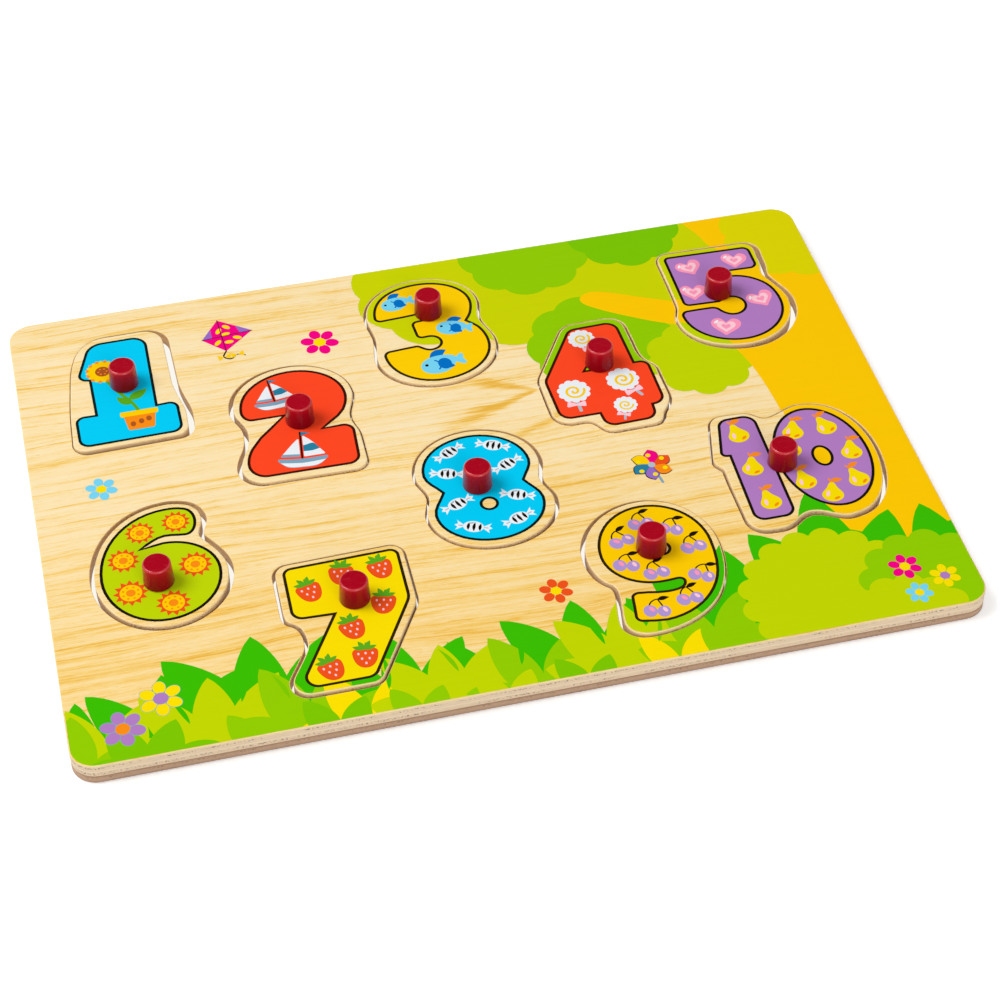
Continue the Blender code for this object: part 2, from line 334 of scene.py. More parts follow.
def inset(polygon, distance):
    """Polygon moved to its left by distance: inwards where it runs anticlockwise."""
    result = []
    for before, here, after in zip(polygon[-1:] + polygon, polygon, polygon[1:] + polygon[:1]):
        first, second = (
            Vector((end[0] - start[0], end[1] - start[1])).normalized()
            for start, end in ((before, here), (here, after)))
        aside = Vector((-first.y, first.x))
        normal = Vector((-first.y - second.y, first.x + second.x))
        normal = (normal if normal.length >= SHORTEST_CHORD else aside).normalized()
        stretch = max(normal.dot(aside), LEAST_MITRE)
        result.append((here[0] + normal.x * distance / stretch, here[1] + normal.y * distance / stretch))
    return result


# The numerals' outlines, and the holes in them that show the garden

DIGITS = {
    1: [traced(
        (-131.3, 34.9, 4), (-94.7, 35.3, 4), (-94.7, 51.7, 3.4), (-101.9, 51.3), (-101.3, 89.3, 5.5),
        (-122.4, 89.1, 7), (-128.6, 70.1, 3.2), (-124.2, 69.1), (-124.1, 50.9), (-131.3, 51.1, 3.4))],
    2: [traced(
        curve(-54.4, 57.4, 180), curve(-74.5, 39.7, 268), curve(-70.5, 34.2, 0), (-60.3, 34.2),
        curve(-73.5, 20.2, 241), curve(-76, 11.6, 272), curve(-69.5, 5, 0), (-37.5, 4.5, 4.5),
        (-36.3, 25.5, 4), (-46.7, 25), curve(-38.4, 32.4, 60), curve(-36, 40.9, 90))],
    3: [traced(
        curve(0.8, 94.1, 180), curve(-16.4, 85.9, 240), curve(-18.6, 78.1, 268), curve(-16, 75.6, 0),
        (0.8, 76.7), (-0.3, 73.5), (-6, 73.1, 2.4), (-5.4, 63.1, 2.4), curve(-1, 63.3, 0),
        curve(2.4, 60.1, 270), curve(-1.4, 56.9, 180), curve(-4.8, 58.9, 135), curve(-6.8, 59.8, 181),
        curve(-16.4, 59.2, 183), curve(-19, 56.3, 271), curve(-0.4, 39.1, 0), curve(20.1, 56.5, 90),
        curve(18, 65.4, 118), (14.7, 69.3), curve(17, 73, 70), curve(18.5, 79.9, 91))],
    4: [traced(
        (48.4, 8.3), (49.1, 1.3, 4.5), (68, 1.7, 4.5), (68.4, 8.6), (73.1, 9, 4.5), (72.8, 32.3, 3.6),
        (67.9, 32.4), (67, 55.6, 4.8), (48.9, 55.1, 4.8), (33.6, 29.5, 6), (34.4, 8.3, 4.8))],
    5: [traced(
        (94, 86.4, 2.2), (93.9, 57.1, 2.6), (107.3, 56.5), curve(111.8, 58.2, 0), curve(115.9, 53.9, 270),
        curve(111.3, 49.3, 180), curve(106.4, 52.9, 118), curve(103.3, 54.7, 176), curve(94.3, 54.8, 180),
        curve(91.6, 51.9, 271), curve(111.3, 34.2, 0), curve(130.1, 52.8, 90), curve(126.6, 64.6, 130),
        curve(118, 70.2, 166), (113.8, 70.9), (113.8, 72.9), (127.4, 72.4, 3), (127.4, 85.4, 3))],
    6: [traced(
        curve(-106.4, -1.6, 180), curve(-132, -30.8, 270), curve(-111.9, -53.1, 0),
        curve(-92.1, -33.4, 90), curve(-109.4, -17.3, 180), (-116.6, -18.8), curve(-108.6, -15, 4),
        curve(-101.8, -15.9, -3), curve(-97.1, -8.8, 90), curve(-100.4, -2.7, 156))],
    7: [traced(
        (-73.3, -39.4, 3.2), (-73.8, -62.9, 4.2), (-60.5, -63.5), (-77.3, -92.9, 4.5),
        (-51.8, -92.9, 4.5), (-34.3, -61.7, 8), (-33.9, -38.5, 3.2))],
    8: [traced(
        curve(0.4, 8.8, 180), curve(-18.8, -7.8, 270), (-14, -17.1), curve(-18.7, -27.4, 270),
        curve(0.7, -43.3, 0), curve(19.5, -26.8, 90), (15, -17.2), curve(19.1, -8, 90))],
    9: [traced(
        curve(49, -39, 180), curve(30.1, -59.3, 270), curve(46.3, -75.2, -4), curve(52.3, -75, 4),
        curve(54, -76.2, 266), curve(47.7, -78.9, 180), curve(38.2, -77.4, 178), curve(35.3, -79.5, 264),
        (33.8, -90.2, 2.6), curve(44.2, -91.9, 2), curve(66.8, -74.3, 73), curve(68.5, -60.3, 90))],
    10: [
        traced(
            (85.2, -55.9, 4.2), (100, -55.9, 4.2), (100.7, -4.7, 4.8), (87.4, -4.8, 4.4),
            (83, -23.1, 2.2), (86.1, -23.5)),
        ellipse(117.6, -30.8, 16.5, 24.8, 0, 56)],
}
DIGIT_HOLES = {
    4: [(49.6, 31.9), (51.6, 31.9), (51.6, 34.9)],
    8: circle(0.5, -25.7, 2.3),
    9: circle(51.1, -60.2, 2.3),
    10: ellipse(117.4, -30.6, 2.7, 4.2),
}


# Motifs: (polygon, ink) from the back to the front, each drawn round its own middle in millimetres

def sunflower():
    """Potted sunflower; its bloom leans to the upper left of the pot."""
    head = (-12.8, 36.2)
    return [
        (band(flowing_line([(-1, 8), (-3.6, 15), (-8.2, 22.5), (-11.4, 29.5), (-12.6, 35)]), 1.5),
         "stem_green"),
        (blade(-4.6, 17, 9.5, 4.4, 20, 24), "stem_green"),
        (blade(-3.4, 14, 8, 3.8, 150, -30), "stem_green"),
        (traced((-6.6, -1.6, 0.8), (3.8, -1.6, 0.8), (5.2, 8.2, 0.6), (-8, 8.2, 0.6)),
         "orange"),
        (traced((-9, 6.6, 0.8), (6.2, 6.6, 0.8), (6.2, 9.6, 0.8), (-9, 9.6, 0.8)),
         "golden"),
        *((ellipse(x, 3.2 + 0.3 * x, 1.1, 1.5), "brown") for x in (-4.5, -1.1, 2)),
        *((blade(*head, 7.2, 3.6, 30 * petal + 15, 0, 0.6), "orange") for petal in range(12)),
        *((blade(*head, 6.9, 3.2, 30 * petal, 0, 0.6), "golden") for petal in range(12)),
        (circle(*head, 3), "brown"),
        *((circle(head[0] + x, head[1] + y, 0.42, 10), "orange") for _, x, y in ring(1.7, 6))]


def sailboat():
    """Boat with two sails, 17 mm long."""
    return [
        (band([(0, -3), (0, 9.4)], 0.6), "black"),
        (traced((-8.2, -1.6, 0.6), curve(-5.2, -5, -40), curve(0, -5.9, 0), curve(5.6, -4.8, 40),
                (8.6, -1.4, 0.6), curve(0, -2.2, 180)), "slate"),
        (traced((-6.6, -3.4), curve(0, -4.1, 0), (7, -3.2), curve(5.6, -4.6, 220),
                curve(0, -5.7, 180), curve(-5.2, -4.8, 140)), "white"),
        (traced((0.6, -1.4, 0.4), (7.2, -0.8, 0.4), curve(4.2, 4, 118), (0.6, 8.2, 0.3)),
         "white"),
        (traced((0.6, 1), curve(3.2, 1, 10), (5.6, 1.8), curve(4.3, 3.8, 118), (0.6, 3.6)),
         "teal"),
        (traced((-0.6, 7, 0.3), curve(-3.6, 3.2, 238), (-6.6, -0.9, 0.4), (-0.6, -1.4, 0.4)),
         "white"),
        (traced((-5.8, 0.2), (-0.6, -0.2), (-0.6, -1.4, 0.3), (-6.6, -0.9, 0.3)),
         "slate"),
        ([(0.2, 9.6), (0.2, 7.9), (3.2, 8.9)], "teal")]


def fish():
    """Fish swimming to the left, 13 mm long."""
    return [
        (blade(-2.6, 2.6, 6.2, 3.2, 40, -36, 0.5), "blue"),
        (traced((3.4, 0, 0.4), curve(5.4, -2, -40), (7.2, -3, 0.7), curve(6.3, 0, 90),
                (7.2, 3, 0.7), curve(5.4, 2, 220)), "sky"),
        (traced(curve(-6, 0, 270), curve(-1, -3.6, 0), curve(4.4, 0, 60), curve(-1, 3.6, 180)), "sky"),
        (ellipse(0.8, -0.2, 1.9, 2.3), "blue"),
        (blade(-0.6, -0.9, 4, 1.8, -8, -26, 0.6), "blue"),
        (band(arc(-2.9, 0, 2.4, -52, 52), 0.5), "blue"),
        (circle(-4.2, 0.8, 0.5, 12), "black")]


def lollipop():
    """Round sweet on a stick, 13 mm tall."""
    return [
        (band([(0.6, -2), (2.2, -8)], 1.1), "grey"),
        (traced((0.9, -4.9), (-2, -3.8, 0.5), (-2.2, -6.8, 0.5), (1, -5.7),
                (4, -6, 0.5), (3.6, -3.2, 0.5)), "blush"),
        (scalloped(0, 1, 11, 5.4, 0.7), "white"),
        (band(arc(0, 1, 0.4, 200, 740, 36, 3), 0.85), "golden")]


def heart(half):
    """Heart twice half millimetres wide."""
    return traced(
        (0, -0.95 * half, 0.14 * half), curve(half, 0.32 * half, 90),
        curve(0.5 * half, 0.82 * half, 180), (0, 0.42 * half),
        curve(-0.5 * half, 0.82 * half, 180), curve(-half, 0.32 * half, 270))


def hearts():
    """Heart within a heart, with a highlight."""
    return [
        (heart(5.2), "pink"), (heart(3.3), "blush"), (heart(1.6), "pink"),
        (ellipse(-3.4, 2.3, 0.5, 1.1, -38, 14), "white")]


def little_sun():
    """Sun with pointed rays, 11 mm across."""
    return [
        (star(12, 5.6, 3.9, 8), "rust"), (circle(0, 0, 3.5), "golden"), (circle(0, 0, 1.5, 18), "orange"),
        *((circle(x, y, 0.38, 10), "orange") for _, x, y in ring(2.5, 8))]


def strawberry():
    """Strawberry with pale seeds, 11 mm tall."""
    seeds = ((-2.2, 0.9), (0.1, 1), (2.3, 0.8), (-1.2, -1.2), (1.2, -1.3), (0, -3.2))
    return [
        (traced(curve(0, -5.2, 0), curve(4.2, 1.2, 88), curve(2, 3.2, 180), (0, 2.9),
                curve(-2, 3.2, 180), curve(-4.2, 1.2, 272)), "rust"),
        *((blade(0, 2.6, 4.2, 1.7, angle, 0, 0.5), "stem_green") for angle in (20, 62, 118, 160)),
        (band([(0, 2.8), (0.5, 5.2)], 0.7), "stem_green"),
        *((ellipse(x, y, 0.38, 0.55, 0, 10), "blush") for x, y in seeds)]


def wrapped_sweet():
    """Striped sweet in a twisted wrapper, 13 mm long."""
    shapes = []
    for side in (-1, 1):
        fan = ((2.8, 0), (6.2, -2.4), (5.6, -0.8), (6.8, 0), (5.6, 0.9), (6.2, 2.4))
        shapes += [
            ([(side * x, y) for x, y in fan], "white"),
            (band([(side * 3.6, 0), (side * 5.2, 0)], 0.5), "grey")]
    shapes.append((ellipse(0, 0, 3.7, 2.7), "white"))
    for x in (-2.1, 0, 2.1):
        reach = 2.3 * math.sqrt(1 - (x / 3.7) ** 2)
        shapes.append((blade(x + 0.5, -reach, 2 * reach, 1.15, 102, -24, 0.5, 8), "black"))
    return shapes + [(ellipse(-0.9, 1.7, 0.9, 0.4, 20, 12), "grey")]


def plums():
    """Two plums on one stalk, 10 mm across."""
    return [
        (band(arc(1.4, 0.6, 4.2, 168, 92, 10), 0.6), "black"), (band([(1.2, 4.7), (2.8, 0.4)], 0.6), "black"),
        (blade(1.2, 4.5, 5, 2.2, 20, -24), "black"),
        (ellipse(-2.6, -1.2, 2.8, 3.2, 8), "lilac"), (ellipse(-1.8, -0.3, 0.9, 1.5, 30, 16), "pink"),
        (ellipse(2.8, -2, 2.7, 3, -8), "lilac"), (ellipse(3.4, -1.1, 0.8, 1.4, 24, 16), "blush")]


def pear():
    """Pear, 10 mm tall."""
    return [
        (band([(0.2, 3.6), (-0.5, 5.8)], 0.7), "orange"), (blade(0, 4.8, 4, 2, 18, -20), "orange"),
        (traced(curve(0, -4.6, 0), curve(3.5, -1.6, 88), curve(1.7, 2, 112), curve(0.2, 4.2, 180),
                curve(-1.5, 2, 246), curve(-3.5, -1.6, 272)), "yellow"),
        (ellipse(-1.5, -1, 0.6, 1.4, -12, 14), "blush"), (ellipse(1.2, -3, 1.1, 0.5, 30, 12), "orange")]


def petals_of(reach, across, up):
    return [ellipse(x, y, across * reach, up * reach, turn, 22) for turn, x, y in ring(0.64 * reach, 6, 90)]


def flower(petal_ink, heart_ink, reach):
    """Six-petalled flower of that reach."""
    petals = [(petal, petal_ink) for petal in petals_of(reach, 0.36, 0.29)]
    return petals + [(circle(0, 0, 0.32 * reach), heart_ink)]


def edged_flower(petal_ink, heart_ink, reach):
    """Six-petalled flower with a slate edge round its petals and its heart."""
    *petals, centre = flower(petal_ink, heart_ink, reach)
    edges = [(edge, "slate") for edge in petals_of(reach, 0.38, 0.31)]
    return edges[::-1] + petals + [(circle(0, 0, 0.35 * reach), "slate"), centre]


def kite():
    """Toy kite with a curled tail, 26 mm long."""
    left, foot, right, top = (-8, 1.5), (-2, -6.5), (9, 0.5), (-0.5, 9.5)
    spots = (
        (-3.4, -1.6, 40), (0.2, -2.4, -10), (3.4, -1.2, -30), (-1.6, 4, 50), (1.4, 5.2, -50), (0.2, 1.8, 0))
    shapes = [
        (band(flowing_line([foot, (-3.6, -9), (-1.6, -10.8), (0.8, -9.4), (3.2, -10.6)]), 0.5), "black"),
        ([left, foot, right, top], "magenta"),
        ([left, (-3.9, 5.9), (-4.6, 1.1)], "violet"), ([right, (4.4, 4.9), (4.9, 0.7)], "violet"),
        *((ellipse(x, y, 1.5, 0.8, turn, 18), "straw") for x, y, turn in spots),
        (band([left, right], 0.3), "black"), (band([foot, top], 0.3), "black")]
    for x, y in ((-3.4, -9.2), (1, -9.4)):
        shapes += [
            ([(x, y), (x - 2.2, y + 1.4), (x - 2, y - 1.2)], "golden"),
            ([(x, y), (x + 2.2, y + 1.2), (x + 2, y - 1.4)], "golden")]
    return shapes


def pinwheel():
    """Pinwheel of six curved vanes, 16 mm across."""
    shapes = [(band([(0, 0), (1.4, -9.2)], 0.9), "slate")]
    for step, ink in enumerate(("rust", "magenta", "golden", "teal", "violet", "orange")):
        angle = 60 * step + 10
        shapes += [
            (blade(0, 0, 7.7, 5.2, angle, 34, 0.6), "black"),
            (blade(0.1, 0.1, 7.5, 4.8, angle, 34, 0.6), ink),
            (circle(*polar(0, 0, 4.8, math.radians(angle + 20)), 0.9, 14), "straw")]
    return shapes + [(circle(0, 0, 1.3, 18), "grey")]


# Each numeral's motif with its places: x, y, size and turn
MOTIFS = {
    1: (sunflower, (-107.6, 41.4, 0.88, 0)),
    2: (sailboat, (-61.6, 44.6, 1, 4), (-56.8, 13.8, 1.15, -6)),
    3: (fish, (-8.6, 84.6, 1, 10), (8.8, 66.4, 1.05, -12), (0.5, 48, 1.3, 8)),
    4: (lollipop, (52.6, 48, 0.92, 10), (42.4, 21, 1.12, -14), (61.4, 23, 1.12, 12), (58.2, 10.2, 0.8, -30)),
    5: (hearts, (102.2, 78.4, 0.94, 12), (119.8, 78.6, 0.94, -10), (99.6, 64.2, 0.94, -8),
        (122.8, 54.8, 0.98, 14), (105.6, 42.8, 1.06, -16)),
    6: (little_sun, (-104, -8.8, 0.92, 0), (-116.4, -11.2, 0.94, 14), (-123.4, -22.8, 1, 4),
        (-122.8, -38, 1.06, 20), (-100.4, -30, 1.06, 8), (-109.8, -45.6, 1.06, 26)),
    7: (strawberry, (-66, -51, 1, 14), (-54.4, -45.8, 1, -8), (-41.4, -46.2, 1, 10), (-43.4, -61.8, 1, -12),
        (-55.4, -70.4, 1, 12), (-53.6, -83.2, 1, -6), (-65.2, -86, 1, 16)),
    8: (wrapped_sweet, (-7.4, 2, 0.95, 28), (8.2, 2, 0.95, -24), (-10.2, -8.2, 0.95, -16),
        (10.8, -8.4, 0.95, 24), (-10, -23.4, 0.95, 22), (10.8, -23.8, 0.95, -20), (-7.2, -35.2, 0.95, -22),
        (8.6, -34.8, 0.95, 20)),
    9: (plums, (47.4, -46.2, 0.82, 6), (38.8, -52.8, 0.82, 20), (56.6, -51, 0.82, -14),
        (37.8, -63.8, 0.82, -8), (61.4, -60.8, 0.82, 12), (46.2, -69.4, 0.82, 10), (60.8, -74, 0.82, -20),
        (53.6, -83, 0.82, 8), (42, -85.8, 0.82, -6)),
    10: (pear, (92.2, -12.6, 1.06, 10), (92.4, -29.6, 1.06, -10), (93, -46.6, 1.06, 8),
         (111.6, -15.6, 1.06, -14), (123, -16, 1.06, 16), (128, -29.8, 1.06, -8), (125.4, -43.2, 1.06, 14),
         (115, -48.2, 1.06, -12), (107.6, -40.2, 1.06, 8), (107.4, -24.2, 1.06, 12)),
}
BOARD_MOTIFS = [
    (flower("magenta", "straw", 7), -40, 71.6, 1, 14),
    (flower("sky", "straw", 5.6), -126.4, 14.2, 1, 10),
    (edged_flower("straw", "purple", 7.2), -119.4, -84.4, 1, 0),
    (edged_flower("purple", "orange", 7.2), -132.6, -94, 1, 12),
    (flower("rust", "straw", 5.6), 12.6, -69.4, 1, 8),
    (flower("magenta", "straw", 5.6), 127, -86.4, 1, 4),
    (flower("sky", "straw", 4.6), 127.6, -98.6, 1, 10),
    (flower("straw", "purple", 5.2), 138.4, -93.4, 1, 0),
    (kite(), -72.6, 82.4, 1.1, 8), (pinwheel(), 59.4, -19.6, 1, 0),
]


def placed(motif, x, y, size, turn):
    return [(moved(polygon, x, y, size, turn), ink) for polygon, ink in motif]


# The garden printed over the board and, in register, over the numbers

def bushes(*forms):
    """Scalloped forms: x, y, lobes, reach, depth, turn, squash if any, and ink."""
    return [(scalloped(*form), ink) for *form, ink in forms]


def canopy():
    """Rounded tree tops in the upper right, with a bough and a trunk before them."""
    trunk = flowing([
        (164, 116), (164, 60), (164, 0), (164, -60), (164, -116), (104, -116), (110, -70), (111, -30),
        (111, 0), (107, 28), (98, 44), (80, 54), (62, 66), (58, 72), (64, 75), (84, 66), (104, 58), (114, 62),
        (117, 78), (112, 96), (108, 116)], TRUNK_STEPS)
    return bushes(
        (12, 92, 9, 36, 3, 20, "field"), (52, 98, 12, 52, 3, 8, "field"), (104, 84, 14, 62, 3, 4, "field"),
        (60, 46, 10, 28, 2.4, 12, "leaf"), (44, 104, 9, 25, 2.4, 0, "leaf"),
        (84, 108, 9, 22, 2.2, 10, "leaf_mid"), (92, 30, 9, 20, 2.2, 6, "leaf_light")) + [
            (trunk, "trunk")] + bushes((146, 92, 9, 27, 2.4, 14, "leaf_gold"))


def tufts(y, breadth, *rows):
    """Fans of blades that grow from about (x, y), the middle ones tallest: x, reach, leaves, spread, ink."""
    shapes = []
    for x, reach, leaves, spread, ink in rows:
        for index in range(leaves):
            share = 2 * index / (leaves - 1) - 1
            length = reach * (1 - 0.26 * share * share) * (1.06 if index % 2 else 0.94)
            shapes.append((blade(
                x + 0.16 * reach * share, y, length, breadth * reach, 90 - spread / 2 * share, -34 * share,
                0.5, 18, 0.78), ink))
    return shapes


def meadow():
    """Grass and bushes along the lower edge, dark blades behind pale ones."""
    dark = (
        (-146, 34, 3, 60), (-118, 44, 5, 84), (-88, 54, 5, 80), (-44, 40, 5, 84), (-14, 34, 4, 80),
        (16, 44, 5, 84), (48, 38, 4, 80), (70, 56, 5, 60), (106, 66, 7, 92), (142, 60, 5, 80))
    single = (
        (-134, -98, 15, 76, "leaf_dark"), (-112, -97, 13, 104, "leaf_dark"), (-95, -92, 15, 70, "leaf_dark"),
        (-80, -94, 12, 100, "leaf_mid"), (-49, -98, 14, 78, "leaf_dark"), (-26, -96, 12, 102, "leaf_mid"),
        (-6, -98, 13, 74, "leaf_dark"), (22, -96, 15, 98, "leaf_dark"), (39, -99, 11, 66, "leaf_mid"))
    return [
        *tufts(-116, 0.34, *((*row, "leaf_dark") for row in dark)),
        *tufts(-117, 0.36,
               (-138, 36, 4, 70, "leaf_light"), (-104, 40, 5, 84, "leaf_light"), (-74, 38, 4, 70, "leaf"),
               (-56, 30, 4, 90, "straw"), (-30, 36, 5, 80, "leaf_light"), (0, 34, 4, 90, "leaf"),
               (30, 40, 5, 80, "leaf_light"), (58, 38, 4, 70, "leaf"), (44, 24, 4, 100, "straw")),
        *tufts(-117, 0.44,
               (-148, 30, 3, 60, "leaf"), (-126, 27, 4, 90, "leaf_mid"), (-90, 22, 4, 110, "leaf"),
               (-66, 22, 4, 110, "leaf_mid"), (-40, 20, 4, 100, "leaf"), (-12, 20, 4, 110, "leaf_light"),
               (14, 20, 4, 110, "leaf_mid"), (64, 22, 4, 110, "leaf")),
        *((blade(x, y, length, 0.13 * length, heading, 22), ink) for x, y, length, heading, ink in single),
        *bushes((100, -92, 17, 31, 3.2, 4, 0.96, "leaf_light"), (134, -96, 13, 25, 2.8, 10, "leaf"),
                (122, -108, 12, 21, 2.4, 2, 0.9, "leaf_light"))]


SCENERY = canopy() + meadow()


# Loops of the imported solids

def loops_at(node, height):
    """Closed loops of the node's edges at that height in millimetres, largest first, anticlockwise."""
    mesh = NODES[node].data
    keys = {}
    index_of = [
        keys.setdefault(tuple(round(value / MM, 3) for value in vertex.co), len(keys))
        for vertex in mesh.vertices]
    points = list(keys)
    level = {index for index, point in enumerate(points) if abs(point[2] - height) < LEVEL_TOLERANCE}
    sides = {}
    for polygon in mesh.polygons:
        corners = [index_of[vertex] for vertex in polygon.vertices]
        flat = level.issuperset(corners)
        for pair in zip(corners, corners[1:] + corners[:1]):
            if level.issuperset(pair) and pair[0] != pair[1]:
                sides.setdefault(tuple(sorted(pair)), []).append(flat)
    beside = {}
    for (a, b), flats in sides.items():
        if len(flats) == 2 and not all(flats):
            beside.setdefault(a, []).append(b)
            beside.setdefault(b, []).append(a)
    loops = []
    while beside:
        start = min(beside)
        loop = [start]
        here = beside[start][0]
        while here != start:
            loop.append(here)
            here = next(step for step in beside[here] if step != loop[-2])
        polygon = [points[index][:2] for index in loop]
        loops.append(polygon if area_of(polygon) > 0 else polygon[::-1])
        for index in loop:
            del beside[index]
    return sorted(loops, key=area_of, reverse=True)


def box_mm(node):
    low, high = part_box(node)
    return low / MM, high / MM


# Meshes

def linked(name, data):
    obj = bpy.data.objects.new(name, data)
    bpy.context.scene.collection.objects.link(obj)
    return obj


def add_piece(mesh, body, slot_name, materials, stands_for=None):
    """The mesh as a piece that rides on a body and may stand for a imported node."""
    piece = linked(mesh.name, mesh)
    for material in materials:
        mesh.materials.append(material)
    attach(piece, body)
    if stands_for:
        piece.modifiers.new("Flat faces stay flat", "WEIGHTED_NORMAL").keep_sharp = True
        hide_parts(stands_for)


def finished(shape, name):
    mesh = bpy.data.meshes.new(name)
    bmesh.ops.recalc_face_normals(shape, faces=shape.faces)
    shape.to_mesh(mesh)
    shape.free()
    mesh.set_sharp_from_angle(angle=math.radians(SHARP_ANGLE))
    return mesh


def triangulated(loops):
    """Points, and triangles with the numbers of the loops that each lies in."""
    points, faces = [], []
    for loop in loops:
        faces.append(list(range(len(points), len(points) + len(loop))))
        points += [Vector(point) for point in (loop if area_of(loop) > 0 else loop[::-1])]
    out, _, triangles, _, _, sources = delaunay_2d_cdt(points, [], faces, 1, MERGE_DISTANCE)
    return out, zip(triangles, sources)


def rounding(size, steps):
    """(inset, rise) steps up a rounded edge, from its foot to where the wall stands upright."""
    angles = [math.pi / 2 * step / steps for step in range(steps + 1)]
    return [(size * (1 - math.sin(angle)), size * (1 - math.cos(angle))) for angle in angles]


def profile_of(low, high, arris):
    """(inset, height) steps up a wall with both arrises rounded."""
    steps = [(aside, low + rise) for aside, rise in rounding(arris, ARRIS_STEPS)]
    return steps + [(aside, low + high - height) for aside, height in reversed(steps)]


def join(shape, lower, upper, slot_index=0):
    """Faces between two rings."""
    for corners in zip(lower, lower[1:] + lower[:1], upper[1:] + upper[:1], upper):
        face = shape.faces.new(corners)
        face.smooth = True
        face.material_index = slot_index


def add_wall(shape, loop, profile, slot_index=0):
    """Rings of the loop up the profile, joined by faces; returns the lowest and highest ring."""
    rings = [
        [shape.verts.new((x * MM, y * MM, height * MM)) for x, y in inset(loop, aside)]
        for aside, height in profile]
    for lower, upper in zip(rings, rings[1:]):
        join(shape, lower, upper, slot_index)
    return rings[0], rings[-1]


def add_cap(shape, rims, upward):
    """Flat faces inside the first ring of vertices and outside the others."""
    loops = [[(vertex.co.x / MM, vertex.co.y / MM) for vertex in rim] for rim in rims]
    vertex_at = {
        tuple(round(value, 3) for value in point): vertex
        for rim, loop in zip(rims, loops) for vertex, point in zip(rim, loop)}
    out, triangles = triangulated(loops)
    for triangle, inside in triangles:
        if inside != [0]:
            continue
        corners = []
        for x, y in (out[index] for index in (triangle if upward else triangle[::-1])):
            key = (round(x, 3), round(y, 3))
            if key not in vertex_at:
                vertex_at[key] = shape.verts.new((x * MM, y * MM, rims[0][0].co.z))
            corners.append(vertex_at[key])
        shape.faces.new(corners).smooth = True


def add_caps(shape, *ends):
    """Underside and top between walls, given as their lowest and highest rings."""
    bottoms, tops = zip(*ends)
    add_cap(shape, bottoms, False)
    add_cap(shape, tops, True)


def make_face_board(material, wall_material):
    """Face board with smooth pockets and rounded arrises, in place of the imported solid."""
    low, high = box_mm("face_board")
    rim = flowing(loops_at("face_board", high.z - BOARD_ARRIS)[0], 1)
    shape = bmesh.new()
    ends = [add_wall(shape, rim, profile_of(low.z, high.z, BOARD_ARRIS))]
    for pocket in loops_at("face_board", high.z)[1:]:
        wall = flowing(pocket, LOOP_STEPS)[::-1]
        ends.append(add_wall(shape, wall, profile_of(low.z, high.z, POCKET_ARRIS), 1))
    add_caps(shape, *ends)
    mesh = finished(shape, "face_board_wood")
    add_piece(mesh, "board", "face_ply", [material, wall_material], "face_board")


def make_number(number, material):
    """Number piece with smooth outline, rounded arrises and a hole that flares above its screw's head."""
    node = f"number_{number}"
    low, high = box_mm(node)
    outline = flowing(loops_at(node, high.z - PIECE_ARRIS)[0], LOOP_STEPS)
    screw_low, screw_high = box_mm(f"screw_{number}")
    middle = (screw_low + screw_high) / 2
    head = (screw_high.x - screw_low.x) / 2 + HOLE_CLEARANCE
    flare = head - SCREW_SHANK - HOLE_CLEARANCE
    cone_foot = screw_low.z + SCREW_RIM
    bore = ((0, low.z), (0, cone_foot), (flare, cone_foot + SCREW_CONE), (flare, high.z))
    hole = circle(middle.x, middle.y, head, HOLE_SIDES)[::-1]
    shape = bmesh.new()
    wall = add_wall(shape, outline, profile_of(low.z, high.z, PIECE_ARRIS))
    add_caps(shape, wall, add_wall(shape, hole, bore))
    add_piece(finished(shape, f"{node}_wood"), f"piece_{number}", f"print_{number}", [material], node)


def make_peg(number, material):
    """Turned peg with a rounded rim, and a ring in its top that keeps the shading flat."""
    node = f"peg_{number}"
    low, high = box_mm(node)
    middle, base = (low + high) / 2, (high.x - low.x) / 2
    taper = base - base * PEG_TAPER
    foot_edge = rounding(PEG_BASE_ROUNDING, PEG_ROUNDING_STEPS)
    rim = rounding(PEG_TOP_ROUNDING, PEG_ROUNDING_STEPS)
    profile = [(aside, low.z + rise) for aside, rise in foot_edge]
    profile += [(taper + rise, high.z - aside) for aside, rise in rim]
    shape = bmesh.new()
    foot, crown = add_wall(shape, circle(middle.x, middle.y, base, PEG_SIDES), profile)
    centre = Vector((middle.x * MM, middle.y * MM, crown[0].co.z))
    inner = [shape.verts.new(centre.lerp(vertex.co, PEG_INNER_RING)) for vertex in crown]
    shape.faces.new(foot[::-1]).smooth = True
    join(shape, crown, inner)
    shape.faces.new(inner).smooth = True
    add_piece(finished(shape, f"{node}_turned"), f"piece_{number}", "peg_crimson", [material], node)


def make_lining(material):
    """Paper between the boards, seen at the bottom of the pockets, where its painted glow makes it look
    white.
    """
    _, high = box_mm("backing_board")
    outline = inset(flowing(loops_at("backing_board", high.z)[0], 1), PAPER_MARGIN)
    foot = high.z + PAPER_LIFT
    shape = bmesh.new()
    add_caps(shape, add_wall(shape, outline, ((0, foot), (0, foot + PAPER_THICKNESS))))
    add_piece(finished(shape, "lining"), "board", "backing_ply", [material])


# Printed sheets

def partition(sheet, holes, layers, above):
    """Triangles by ink: the topmost layer shows, and only inside the sheet and outside its holes."""
    first = 1 + len(holes)
    out, triangles = triangulated([sheet] + holes + [polygon for polygon, _ in layers])
    by_ink = {}
    for triangle, inside in triangles:
        if 0 not in inside or any(0 < index < first for index in inside):
            continue
        stack = sorted(index - first for index in inside if index >= first)
        if stack and layers[stack[-1]][1] == THROUGH:
            stack = [index for index in stack if index < above]
        if stack:
            by_ink.setdefault(layers[stack[-1]][1], []).append(triangle)
    return out, by_ink


